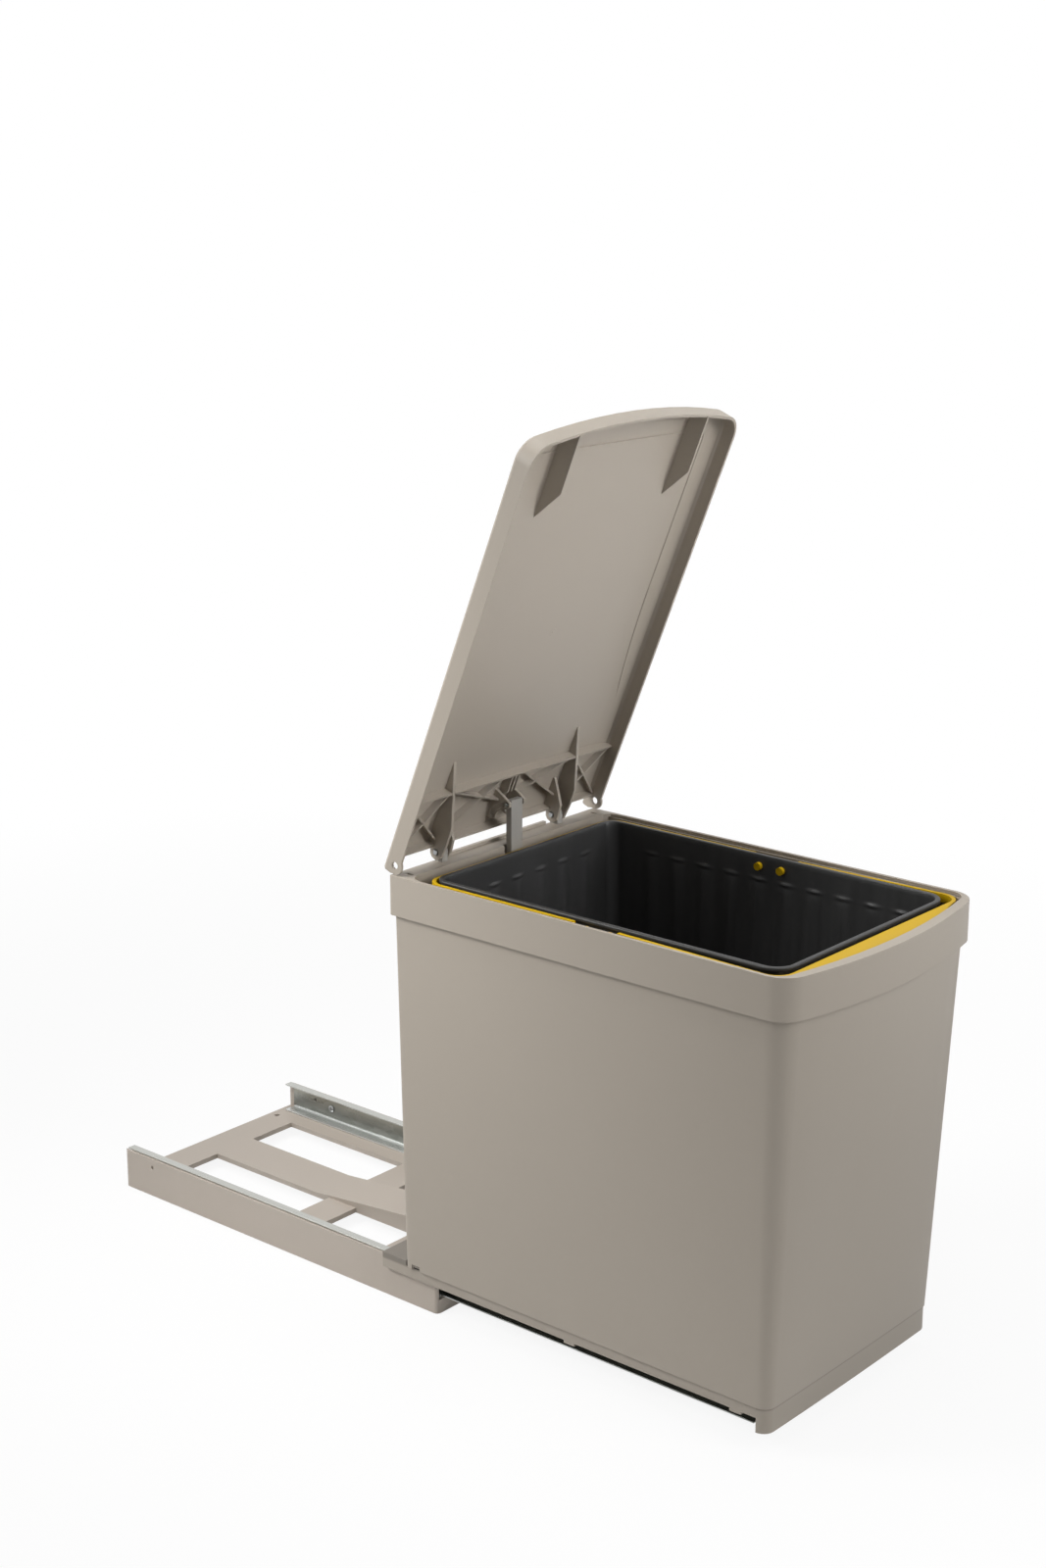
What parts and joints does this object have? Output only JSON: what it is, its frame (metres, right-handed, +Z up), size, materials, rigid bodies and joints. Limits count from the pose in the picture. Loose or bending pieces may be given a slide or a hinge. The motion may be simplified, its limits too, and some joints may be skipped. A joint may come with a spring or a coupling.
{
  "type": "pull-out waste bin for a base cabinet",
  "caption": "Narrow pull-out waste bin for a kitchen base cabinet, on roller runners, with a lid that rises as it comes out and a lift-out inner bucket with two carrying bails.",
  "frame": {"origin": "middle of the base frame's underside, on the cabinet floor", "axes": "+Z up; the bin pulls out along -Y, towards the cabinet door; X runs across the bin. At rest the bin is fully out and its lid is up."},
  "size_m": [0.245, 0.7231, 0.7125],
  "materials": {
    "shell_plastic": "satin taupe with a fine moulded grain",
    "base_plastic": "satin warm taupe",
    "bucket_plastic": "smooth anthracite",
    "bail_plastic": "smooth yellow",
    "fitting_plastic": "satin cool grey",
    "zinc_sheet": "zinc-plated rolled sheet",
    "screw_steel": "bright zinc-plated",
    "pin_steel": "drawn steel",
    "roller_plastic": "natural off-white"
  },
  "bodies": {
    "base": {"base_frame": "base_plastic", "runner_left": "zinc_sheet", "runner_screw_left_1": "screw_steel", "runner_screw_left_2": "screw_steel", "runner_screw_left_3": "screw_steel", "front_axle_left": "pin_steel", "runner_right": "zinc_sheet", "runner_screw_right_1": "screw_steel", "runner_screw_right_2": "screw_steel", "runner_screw_right_3": "screw_steel", "front_axle_right": "pin_steel"},
    "carriage": {"carriage_tray": "shell_plastic", "bin_housing": "shell_plastic", "top_frame": "shell_plastic", "rail_left": "zinc_sheet", "rail_screw_left_1": "screw_steel", "rail_screw_left_2": "screw_steel", "rear_axle_left": "pin_steel", "hinge_post_left": "fitting_plastic", "hinge_pin_left": "pin_steel", "rail_right": "zinc_sheet", "rail_screw_right_1": "screw_steel", "rail_screw_right_2": "screw_steel", "rear_axle_right": "pin_steel", "hinge_post_right": "fitting_plastic", "hinge_pin_right": "pin_steel", "rod_guide": "fitting_plastic"},
    "lift_rod": {"lift_rod": "fitting_plastic", "cross_pin": "pin_steel", "foot_axle": "pin_steel"},
    "lid": {"lid": "shell_plastic"},
    "foot_roller": {"foot_roller": "roller_plastic"},
    "bucket": {"inner_bucket": "bucket_plastic"},
    "front_bail": {"front_bail": "bail_plastic"},
    "rear_bail": {"rear_bail": "bail_plastic"},
    "front_roller_left": {"front_roller_left": "roller_plastic"},
    "rear_roller_left": {"rear_roller_left": "roller_plastic"},
    "front_roller_right": {"front_roller_right": "roller_plastic"},
    "rear_roller_right": {"rear_roller_right": "roller_plastic"}
  },
  "joints": [
    {"name": "carriage_slide", "type": "slide", "parent": "base", "child": "carriage", "axis": [0, -1, 0], "range_m": [-0.3, 0]},
    {"name": "lid_hinge", "type": "hinge", "parent": "carriage", "child": "lid", "pos_m": [0, -0.1636, 0.372], "axis": [-1, 0, 0], "range_deg": [-68, 0]},
    {"name": "lift_rod_slide", "type": "slide", "parent": "carriage", "child": "lift_rod", "axis": [0, 0, 1], "range_m": [-0.021, 0]},
    {"name": "foot_roller_spin", "type": "hinge", "parent": "lift_rod", "child": "foot_roller", "pos_m": [0, -0.1784, 0.0393], "axis": [1, 0, 0], "continuous": true},
    {"name": "bucket_lift", "type": "slide", "parent": "carriage", "child": "bucket", "axis": [0, 0, 1], "range_m": [0, 0.09]},
    {"name": "front_bail_swing", "type": "hinge", "parent": "bucket", "child": "front_bail", "pos_m": [0, -0.361, 0.355], "axis": [-1, 0, 0], "range_deg": [0, 90]},
    {"name": "rear_bail_swing", "type": "hinge", "parent": "bucket", "child": "rear_bail", "pos_m": [0, -0.3402, 0.355], "axis": [1, 0, 0], "range_deg": [0, 90]},
    {"name": "front_roller_spin_left", "type": "hinge", "parent": "base", "child": "front_roller_left", "pos_m": [-0.0918, -0.175, 0.0205], "axis": [1, 0, 0], "continuous": true},
    {"name": "rear_roller_spin_left", "type": "hinge", "parent": "carriage", "child": "rear_roller_left", "pos_m": [-0.0905, -0.1366, 0.02395], "axis": [1, 0, 0], "continuous": true},
    {"name": "front_roller_spin_right", "type": "hinge", "parent": "base", "child": "front_roller_right", "pos_m": [0.0918, -0.175, 0.0205], "axis": [1, 0, 0], "continuous": true},
    {"name": "rear_roller_spin_right", "type": "hinge", "parent": "carriage", "child": "rear_roller_right", "pos_m": [0.0905, -0.1366, 0.02395], "axis": [1, 0, 0], "continuous": true}
  ],
  "couplings": [
    {"joint": "lid_hinge", "follows": "carriage_slide", "rad_per_m": 3.956},
    {"joint": "lift_rod_slide", "follows": "carriage_slide", "ratio": 0.07}
  ]
}
